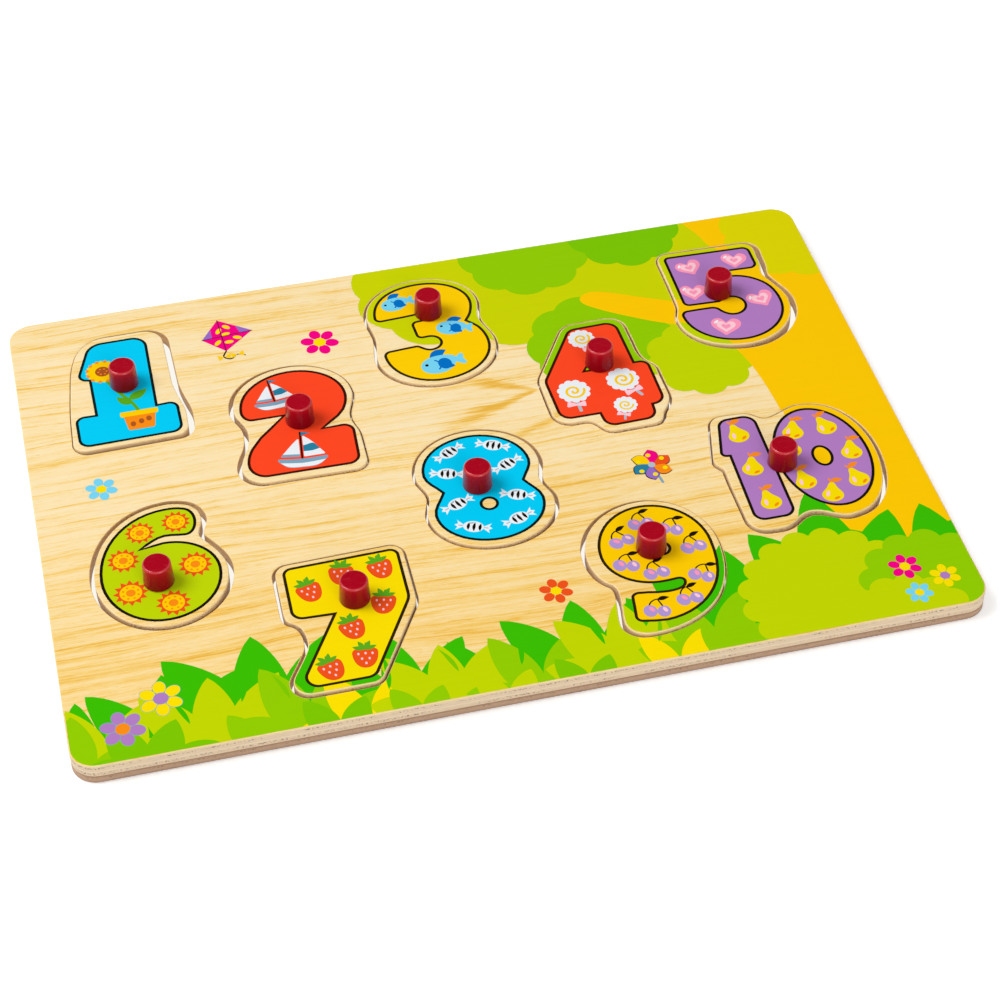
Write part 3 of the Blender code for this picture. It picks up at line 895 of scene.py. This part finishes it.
def make_prints(names, out, by_ink, height, body, slot_name):
    """Thin printed sheets over the wood: one of the broad inks and one of the fine ones."""
    for name, inks in zip(names, (BROAD_INKS, FINE_INKS)):
        chosen = [ink for ink in by_ink if ink in inks]
        index_of, faces, slots = {}, [], []
        for slot_index, ink in enumerate(chosen):
            for triangle in by_ink[ink]:
                faces.append([index_of.setdefault(index, len(index_of)) for index in triangle])
                slots.append(slot_index)
        z = (height + INK_THICKNESS) * MM
        mesh = bpy.data.meshes.new(name)
        mesh.from_pydata([(out[index].x * MM, out[index].y * MM, z) for index in index_of], [], faces)
        mesh.polygons.foreach_set("material_index", slots)
        add_piece(mesh, body, slot_name, [INK_MATERIALS[ink] for ink in chosen])


def print_board():
    _, high = box_mm("face_board")
    rim, *loops = loops_at("face_board", high.z)
    layers = SCENERY + [shape for motif in BOARD_MOTIFS for shape in placed(*motif)]
    pockets = [inset(flowing(loop, LOOP_STEPS), -POCKET_ARRIS - INK_MARGIN) for loop in loops]
    make_prints(
        ("board_scenery", "board_motifs"), *partition(flowing(rim, 1), pockets, layers, 0), high.z,
        "board", "face_ply")


def print_number(number):
    node = f"number_{number}"
    _, high = box_mm(node)
    sheet = inset(flowing(loops_at(node, high.z)[0], LOOP_STEPS), INK_MARGIN)
    fill = FILLS[number - 1]
    stroke = STROKES[fill]
    motif, *places = MOTIFS[number]
    layers = SCENERY + [(outline, stroke) for outline in DIGITS[number]]
    layers += [(inset(outline, STROKE_WIDTH), fill) for outline in DIGITS[number]]
    layers += [shape for place in places for shape in placed(motif(), *place)]
    if number in DIGIT_HOLES:
        hole = DIGIT_HOLES[number]
        layers += [(inset(hole, -STROKE_WIDTH), stroke), (hole, THROUGH)]
    make_prints(
        (f"{node}_ground", f"{node}_motifs"), *partition(sheet, [], layers, len(SCENERY)), high.z,
        f"piece_{number}", f"print_{number}")


# Materials

class Value:
    """A node's output, which can be reckoned with by more nodes."""

    def __init__(self, nodes, socket):
        self.nodes, self.socket = nodes, socket

    def __add__(self, other):
        return self.nodes.math("ADD", self, other)

    def __sub__(self, other):
        return self.nodes.math("SUBTRACT", self, other)

    def __rsub__(self, other):
        return self.nodes.math("SUBTRACT", other, self)

    def __mul__(self, other):
        return self.nodes.math("MULTIPLY", self, other)

    def __truediv__(self, other):
        return self.nodes.math("DIVIDE", self, other)

    def __abs__(self):
        return self.nodes.math("ABSOLUTE", self)

    def between(self, low, high, to_low=0, to_high=1):
        """to_low up to low, to_high from high on, and evenly between them."""
        return self.nodes.add("ShaderNodeMapRange", {
            "Value": self, "From Min": low, "From Max": high, "To Min": to_low, "To Max": to_high},
            clamp=True)

    def ramp(self, *stops):
        """Colour ramp; a stop is its position with a screen colour or one grey level."""
        result = self.nodes.add("ShaderNodeValToRGB", {"Fac": self}, "Color")
        elements = result.socket.node.color_ramp.elements
        while len(elements) < len(stops):
            elements.new(0.5)
        for element, (position, *colour) in zip(elements, stops):
            element.position = position
            element.color = linear(*colour) if len(colour) == 3 else (*colour * 3, 1)
        return result

    def axes(self):
        node = self.nodes.add("ShaderNodeSeparateXYZ", {0: self}).socket.node
        return [Value(self.nodes, socket) for socket in node.outputs]


class Nodes:
    """The node tree of a material or a world, with short calls to add to it."""

    def __init__(self, owner, shader):
        owner.use_nodes = True
        self.owner, self.tree = owner, owner.node_tree
        self.shader = self.tree.nodes[shader]

    def feed(self, node, values):
        """Links or sets the node's inputs."""
        for key, value in values.items():
            if isinstance(value, Value):
                self.tree.links.new(value.socket, node.inputs[key])
            else:
                node.inputs[key].default_value = value

    def add(self, kind, values=None, output=0, **settings):
        """An output of a new node that has those inputs and settings."""
        node = self.tree.nodes.new(kind)
        for key, value in settings.items():
            setattr(node, key, value)
        self.feed(node, values or {})
        return Value(self, node.outputs[output])

    def math(self, operation, first, second=0):
        return self.add("ShaderNodeMath", {0: first, 1: second}, operation=operation)

    def place(self):
        """Object coordinates in millimetres."""
        coordinates = self.add("ShaderNodeTexCoord", output="Object")
        return self.add("ShaderNodeVectorMath", {0: coordinates, "Scale": 1 / MM}, operation="SCALE")

    def upward(self):
        return self.add("ShaderNodeTexCoord", output="Normal").axes()[2]

    def noise(self, stretch, detail=3, roughness=0.5, place=None):
        """Noise with that many features a millimetre along each axis."""
        scaled = self.add("ShaderNodeMapping", {"Vector": place or self.place(), "Scale": stretch})
        return self.add("ShaderNodeTexNoise", {
            "Vector": scaled, "Scale": 1, "Detail": detail, "Roughness": roughness}, "Fac")

    def mix(self, share, first, second):
        return self.add("ShaderNodeMix", {0: share, 6: first, 7: second}, 2, data_type="RGBA")

    def shade(self, values, bumps=None, depth=0, strength=0.5):
        """Sets the shader's inputs, and its bumps of that depth in millimetres."""
        if bumps:
            values["Normal"] = self.add("ShaderNodeBump", {
                "Height": bumps, "Distance": depth * MM, "Strength": strength})
        self.feed(self.shader, values)
        return self.owner


def new_material(name):
    return Nodes(bpy.data.materials.new(name), "Principled BSDF")


# Where gold gathers between one growth line and the next
RING = ((0, 0.05), (0.45, 0.03), (0.8, 0.25), (0.9, 1), (0.95, 0.55), (1, 0.05))
# Growth lines: their spacing in millimetres, how they fade along and across them, and their weight
GROWTH_LINES = ((4.7, 0.022, 0.14, 0.56), (1.9, 0.05, 0.4, 0.28), (0.93, 0.07, 0.25, 0.24))
# Arms of the veneer's flame: tip, slope, widening, where they start and end back from the tip, strength
FLAME_ARMS = (
    ((30.6, 27.4), 0.336, 0.11, -1, 40, 1), ((30.6, 27.4), -0.44, 0.18, -1, 25, 0.95),
    ((62, 21), 0.336, 0.03, 22, 50, 0.7))
# Where dark pits gather in a sawn edge
SEAMS = ((0.14, 0), (0.22, 1), (0.32, 1), (0.4, 0), (0.68, 0), (0.75, 1), (0.83, 1), (0.89, 0))
# Sawn edges from the bottom to the top, some with painted shade towards the foot and a painted highlight at
# the top arris, and faces from pale to golden
# Ply layers, with a painted highlight in the pale top stop along the board's arris
OUTER_TINTS_PAINTED_HIGHLIGHT = (
    (0, 228, 203, 170), (0.3, 242, 220, 188), (0.41, 236, 212, 180), (0.46, 252, 236, 210),
    (0.52, 234, 210, 178), (0.86, 243, 221, 188), (0.93, 238, 214, 174), (1, 254, 240, 182))
# Ply bands, with painted shade darkening the piece walls towards their foot and a painted highlight in the
# pale top stop at the arris
PIECE_TINTS_PAINTED_SHADE_AND_HIGHLIGHT = (
    (0, 190, 152, 112), (0.25, 212, 176, 134), (0.46, 234, 202, 162), (0.56, 208, 172, 130),
    (0.8, 232, 200, 154), (0.92, 244, 216, 170), (1, 252, 232, 188))
# Painted shade: the pocket walls are a darker, browner copy of the board's edge, darkest at their foot
POCKET_TINTS_PAINTED_SHADE = (
    (0, 176, 138, 92), (0.4, 206, 168, 118), (0.5, 226, 192, 144), (0.6, 200, 160, 108),
    (0.9, 220, 182, 126), (1, 240, 208, 150))
# Painted shade darkens the backing's edge at its foot; it is darker again at its top
BACKING_TINTS_PAINTED_SHADE = (
    (0, 146, 116, 94), (0.3, 180, 147, 121), (0.55, 192, 159, 132), (0.85, 196, 163, 136),
    (1, 156, 124, 100))
FACE_TINTS = ((0, 252, 231, 188), (0.28, 250, 222, 162), (0.6, 246, 205, 112), (1, 234, 178, 58))
BARE_TINTS = ((0, 220, 190, 148), (0.6, 196, 158, 112), (1, 168, 126, 84))


def grain(nodes):
    """How golden the veneer is, 0 to 1, with its growth lines along X, and its fine fibre."""
    x, y, z = nodes.place().axes()
    drift = nodes.noise((0.006, 0.02, 0.02), 2)
    ripple = nodes.noise((0.02, 0.1, 0.1), 2)
    jitter = nodes.noise((0.1, 0.7, 0.7), 3, 0.6)
    across = drift * 16.0 + y + ripple * 1.6 + jitter * 1.1
    lines = nodes.add("ShaderNodeCombineXYZ", {"X": x, "Y": across, "Z": z})
    bands = nodes.noise((0.009, 0.2, 0.2), 5, 0.66, lines).between(0.46, 0.66)
    threads = nodes.noise((0.03, 1.3, 1.3), 5, 0.72, lines).between(0.44, 0.66)
    dashes = nodes.noise((0.09, 2.1, 2.1), 3, 0.6, lines).between(0.56, 0.68)
    fibre = nodes.noise((0.3, 3.6, 3.6), 3, 0.6).between(0.3, 0.7)
    golden = bands * 0.13 + threads * 0.14 + dashes * (bands * 0.22 + 0.16)
    golden = golden + y.between(-70, 10, 0.24, 0)
    for spacing, length, stretch, weight in GROWTH_LINES:
        fading = nodes.noise((length, stretch, stretch), 4, 0.66, lines).between(0.4, 0.62)
        golden = golden + nodes.math("FRACT", across / spacing).ramp(*RING) * fading * weight
    feather = nodes.noise((0.05, 1, 1), 4, 0.7, lines).between(0.35, 0.65, 0.5, 1.6)
    flame = 0
    for (tip_x, tip_y), slope, widening, start, end, strength in FLAME_ARMS:
        back = tip_x - x
        off = abs(back * slope + (y - tip_y)) * feather
        arm = (off / (back * widening + 0.7)).between(0.3, 1.2, strength, 0)
        along = back.between(start, end).ramp((0, 0), (0.08, 1), (0.6, 1), (1, 0))
        flame = nodes.math("MAXIMUM", flame, arm * along)
    streaked = nodes.math("MAXIMUM", flame, bands * 0.5)
    golden = golden + streaked * threads * 0.7 + flame * 0.5
    return fibre * 0.17 + (golden * 1.16 - 0.09), fibre


def ply_edge(nodes, low, high, tints):
    """Colour of a sawn plywood edge between two heights, its layers running round the piece."""
    share = nodes.place().axes()[2].between(low, high)
    level = nodes.noise((0.09, 0.09, 0.4)) * 0.05 + (share - 0.025)
    fibre = nodes.noise((0.3, 0.3, 4), 4, 0.6).between(0.3, 0.7)
    pits = nodes.noise((1.3, 1.3, 1.9), 2, 0.6).between(0.53, 0.6)
    clusters = nodes.noise((0.07, 0.07, 0.3), 2).between(0.38, 0.54)
    seams = share.ramp(*SEAMS)
    # Tints run from the foot to the top; some tables carry painted shade at the foot and a painted highlight
    # at the top
    streaked = nodes.mix(fibre * 0.24, level.ramp(*tints), linear(178, 142, 110))
    streaked = nodes.mix(seams * 0.1, streaked, linear(190, 156, 124))
    return nodes.mix(pits * clusters * seams * 0.8, streaked, linear(112, 80, 58)), fibre


def plywood(name, node, edge_tints, face_tints, pores, roughness, relief):
    """Ply with growth lines on its faces and layers on its edges."""
    low, high = box_mm(node)
    nodes = new_material(name)
    golden, fibre = grain(nodes)
    pitting = nodes.noise((0.3, 3.4, 3.4), 2).between(0.64, 0.74)
    face = nodes.mix(pitting * pores, golden.ramp(*face_tints), linear(200, 150, 80))
    edge, edge_fibre = ply_edge(nodes, low.z, high.z, edge_tints)
    flat = abs(nodes.upward()).between(0.72, 0.9)
    return nodes.shade({
        "Base Color": nodes.mix(flat, edge, face), "Specular IOR Level": WOOD_GLOSS,
        "Roughness": fibre.between(0, 1, *roughness)}, fibre * 0.5 + edge_fibre, relief)


def varnished(name, node, edge_tints):
    return plywood(name, node, edge_tints, FACE_TINTS, 0.25, (0.42, 0.56), 0.03)


def paper_with_painted_glow():
    """Paper with a painted glow: it emits light of its own, so that its dark grey base looks white in the
    shaded pockets.
    """
    nodes = new_material("lining_paper_painted_glow")
    fibre = nodes.noise((0.8, 0.8, 0.8), 4, 0.6)
    return nodes.shade({
        # Painted glow: the emission below lifts this dark grey to near white, even where the pocket is in
        # shade
        "Base Color": fibre.ramp((0.3, 84, 84, 82), (0.7, 94, 94, 93)), "Specular IOR Level": 0,
        "Emission Color": PAINTED_GLOW_COLOUR, "Emission Strength": PAINTED_GLOW_STRENGTH,
        "Roughness": fibre.between(0.3, 0.7, 0.8, 0.95)}, fibre, 0.02, 0.4)


def ink_material(name, rgb, broad):
    """Screen-printed ink under varnish; broad areas let a trace of the grain through."""
    nodes = new_material(f"ink_{name}")
    streaks = nodes.noise((0.03, 0.8, 0.8), 4, 0.6).between(0.3, 0.7)
    speckle = nodes.noise((1.6, 2.4, 2), 2)
    colour = linear(*rgb)
    if broad:
        deeper = (*(channel * INK_DEEPENING for channel in colour[:3]), 1)
        colour = nodes.mix(streaks * 0.5, colour, deeper)
    return nodes.shade({
        "Base Color": colour, "Specular IOR Level": INK_GLOSS,
        "Roughness": speckle.between(0.3, 0.7, 0.3, 0.42)}, speckle * 0.3 + streaks, 0.015)


def peg_paint():
    """Dipped crimson lacquer over turned wood, glossiest where it gathers on the rim and sides. Its rim is
    paled by a painted highlight, and its sides darken towards the foot with painted shade.
    """
    nodes = new_material("peg_lacquer")
    low, high = box_mm("peg_1")
    cloud = nodes.noise((0.12, 0.12, 0.3), 1)
    scratches = nodes.noise((0.25, 2.6, 1), 2).between(0.62, 0.68)
    # Painted shade: the sides' crimson darkens from just under the rim down to the foot
    height = cloud * 0.12 + (nodes.place().axes()[2].between(low.z, high.z) - 0.06)
    sides = height.ramp((0, 128, 0, 18), (0.3, 134, 1, 20), (0.7, 156, 2, 26), (0.92, 182, 8, 34))
    upward = nodes.upward()
    worn = nodes.mix(scratches * 0.12, linear(168, 3, 28), linear(214, 90, 100))
    colour = nodes.mix(upward.between(0.9, 0.99), sides, worn)
    # Painted highlight: a pale salmon band mixed into the colour round the rounded rim
    rim_painted_highlight = upward.ramp((0.14, 0), (0.4, 0.28), (0.86, 0.34), (0.99, 0))
    edgeways = nodes.add("ShaderNodeLayerWeight", {"Blend": 0.5}, "Facing")
    rim = upward.ramp((0.12, 0), (0.34, RIM_GLOSS), (0.9, RIM_GLOSS), (0.97, 0))
    gloss = nodes.math("MAXIMUM", edgeways.between(0.4, 0.75, LACQUER_GLOSS, EDGE_GLOSS), rim)
    # The base colour takes the pale salmon of the painted rim highlight
    return nodes.shade({
        "Base Color": nodes.mix(rim_painted_highlight, colour, linear(222, 62, 62)), "IOR": LACQUER_IOR,
        "Specular IOR Level": gloss * upward.between(0.95, 0.99, 1, WORN_GLOSS / LACQUER_GLOSS),
        "Sheen Weight": EDGE_SHEEN, "Sheen Roughness": 0.35, "Sheen Tint": linear(255, 190, 190),
        "Roughness": cloud.between(0.3, 0.7, 0.24, 0.28)}, nodes.noise((0.2, 0.2, 0.25), 0), 0.03, 0.3)


def screw_metal():
    """Zinc-plated steel."""
    nodes = new_material("screw_zinc")
    scratches = nodes.noise((4, 4, 4))
    return nodes.shade({
        "Base Color": scratches.ramp((0.3, 176, 178, 182), (0.7, 206, 207, 208)), "Metallic": 1,
        "Roughness": scratches.between(0.3, 0.7, 0.28, 0.45)}, scratches, 0.02, 0.4)


# Studio

def seen_plainly(nodes):
    """1 for a ray from the camera or off a shiny or clear surface, else 0."""
    total = 0
    for ray in ("Is Camera Ray", "Is Glossy Ray", "Is Transmission Ray"):
        total = nodes.math("MAXIMUM", total, nodes.add("ShaderNodeLightPath", output=ray))
    return total


def make_world():
    """Soft white light all round, which looks plain white itself."""
    world = bpy.data.worlds.new("studio")
    bpy.context.scene.world = world
    nodes = Nodes(world, "Background")
    nodes.shade({"Strength": SKY_STRENGTH, "Color": WHITE})
    light = Value(nodes, nodes.shader.outputs[0])
    shown = nodes.add("ShaderNodeBackground", {"Color": WHITE})
    mixed = nodes.add("ShaderNodeMixShader", {0: seen_plainly(nodes), 1: light, 2: shown})
    nodes.feed(nodes.tree.nodes["World Output"], {"Surface": mixed})


def make_floor():
    """White table that keeps the puzzle's shadow and looks white where nothing shades it."""
    nodes = new_material("table_white")
    away = nodes.add("ShaderNodeVectorMath", {0: nodes.place()}, "Value", operation="LENGTH")
    tone = nodes.noise((0.01, 0.01, 0.01), 2).ramp((0.3, 246, 246, 246), (0.7, 249, 249, 249))
    lift = seen_plainly(nodes) * away.between(*TABLE_REACH, TABLE_LIFT, 1)
    nodes.shade({
        "Base Color": tone, "Roughness": 0.9, "Specular IOR Level": 0, "Emission Color": WHITE,
        "Emission Strength": lift})
    half = TABLE_SIZE / 2
    mesh = bpy.data.meshes.new("table")
    corners = [(-half, -half, 0), (half, -half, 0), (half, half, 0), (-half, half, 0)]
    mesh.from_pydata(corners, [], [(0, 1, 2, 3)])
    mesh.materials.append(nodes.owner)
    linked("table", mesh)


def add_softbox(name, place, size, power):
    light = bpy.data.lights.new(name, "AREA")
    light.shape = "DISK"
    light.size = size
    light.energy = power
    obj = linked(name, light)
    obj.location = place
    obj.rotation_euler = (-Vector(place)).to_track_quat("-Z", "Y").to_euler()


def make_camera():
    """Camera where the photograph was taken from."""
    camera = bpy.data.cameras.new("camera")
    camera.sensor_width = SENSOR_WIDTH
    camera.lens = LENS
    obj = linked("camera", camera)
    obj.matrix_world = Matrix.Translation(CAMERA_PLACE) @ Matrix(CAMERA_AXES).transposed().to_4x4()
    bpy.context.scene.camera = obj


make_camera()
make_world()
make_floor()
add_softbox("key", (-1.35, 0.375, 1.95), 1.5, KEY_POWER)
add_softbox("fill", (0.25, -1.3, 0.75), 0.75, FILL_POWER)
bpy.context.scene.view_settings.view_transform = "Standard"

INK_MATERIALS = {
    name: ink_material(name, rgb, name in BROAD_INKS) for name, rgb in (BROAD_INKS | FINE_INKS).items()}

# The pocket walls take the edge colours with painted shade
make_face_board(
    varnished("face_wood", "face_board", OUTER_TINTS_PAINTED_HIGHLIGHT), varnished("pocket_wood_painted_shade", "face_board", POCKET_TINTS_PAINTED_SHADE))
piece_wood = varnished("number_wood", "number_1", PIECE_TINTS_PAINTED_SHADE_AND_HIGHLIGHT)
lacquer = peg_paint()
zinc = screw_metal()
for number in NUMBERS:
    make_number(number, piece_wood)
    make_peg(number, lacquer)
    print_number(number)
    NODES[f"screw_{number}"].data.materials[0] = zinc
NODES["backing_board"].data.materials[0] = plywood(
    "backing_wood", "backing_board", BACKING_TINTS_PAINTED_SHADE, BARE_TINTS, 0, (0.5, 0.7), 0.04)
make_lining(paper_with_painted_glow())
print_board()
